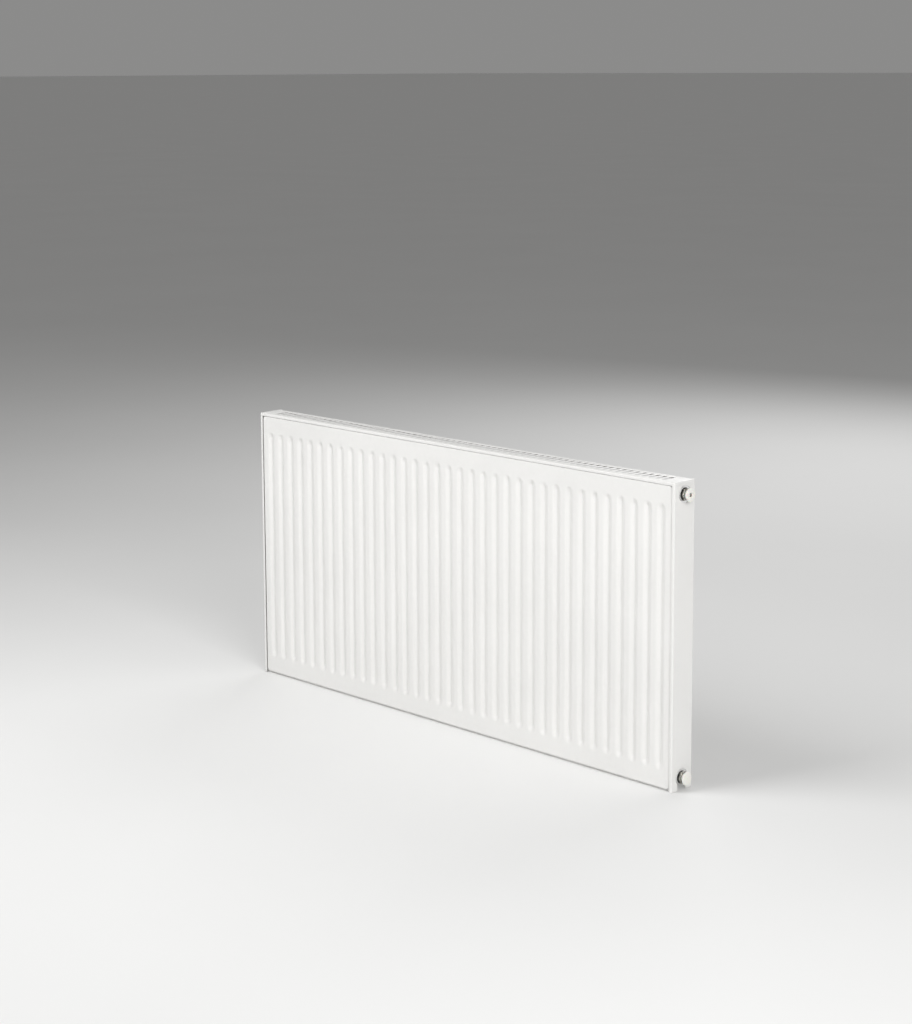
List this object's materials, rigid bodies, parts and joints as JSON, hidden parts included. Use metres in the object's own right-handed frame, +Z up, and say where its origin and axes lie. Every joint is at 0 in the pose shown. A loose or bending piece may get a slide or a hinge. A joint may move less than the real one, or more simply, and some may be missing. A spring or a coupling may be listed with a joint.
{
  "type": "panel radiator",
  "caption": "Wall-hung steel panel radiator with a grooved front, rear convector, slotted top grille, side covers, vent plug and blanking plug.",
  "frame": {"origin": "middle of the footprint of the whole object at its lower edge, plugs included", "axes": "+X along the length to the right as seen from the room, -Y towards the room, +Z up"},
  "size_m": [1.2146, 0.06, 0.6],
  "materials": {
    "white_enamel": "satin powder coat",
    "spring_steel": "plain rolled strip",
    "nickel": "nickel-plated brass",
    "ivory_plastic": "moulded, semi-gloss",
    "black_rubber": "matt"
  },
  "bodies": {
    "radiator": {"front_sheet": "white_enamel", "rear_sheet": "white_enamel", "convector_left": "white_enamel", "convector_middle": "white_enamel", "convector_right": "white_enamel", "vent_plug": "nickel", "vent_plug_seal": "black_rubber", "blanking_plug": "nickel", "blanking_plug_seal": "black_rubber", "blanking_cap": "ivory_plastic", "tapping_left_bottom": "white_enamel", "tapping_left_top": "white_enamel", "hanging_lug_left_lower": "white_enamel", "hanging_lug_left_upper": "white_enamel", "tapping_right_bottom": "white_enamel", "tapping_right_top": "white_enamel", "hanging_lug_right_lower": "white_enamel", "hanging_lug_right_upper": "white_enamel"},
    "grille": {"top_grille": "white_enamel", "grille_clip_1": "spring_steel", "grille_clip_2": "spring_steel", "grille_clip_3": "spring_steel", "grille_clip_4": "spring_steel"},
    "left_cover": {"side_cover_left": "white_enamel", "cover_clip_left_lower": "spring_steel", "cover_clip_left_upper": "spring_steel"},
    "right_cover": {"side_cover_right": "white_enamel", "cover_clip_right_lower": "spring_steel", "cover_clip_right_upper": "spring_steel"},
    "collar": {"vent_collar": "ivory_plastic"},
    "spindle": {"bleed_screw": "nickel"}
  },
  "joints": [
    {"name": "grille_lift", "type": "slide", "parent": "radiator", "child": "grille", "axis": [0, 0, 1], "range_m": [0, 0.05]},
    {"name": "left_cover_pull", "type": "slide", "parent": "radiator", "child": "left_cover", "axis": [-1, 0, 0], "range_m": [0, 0.05]},
    {"name": "right_cover_pull", "type": "slide", "parent": "radiator", "child": "right_cover", "axis": [1, 0, 0], "range_m": [0, 0.05]},
    {"name": "collar_turn", "type": "hinge", "parent": "radiator", "child": "collar", "pos_m": [0.6033, 0, 0.575], "axis": [1, 0, 0], "continuous": true},
    {"name": "bleed_screw_turn", "type": "hinge", "parent": "radiator", "child": "spindle", "pos_m": [0.6033, 0, 0.575], "axis": [1, 0, 0], "range_deg": [0, 540]}
  ]
}
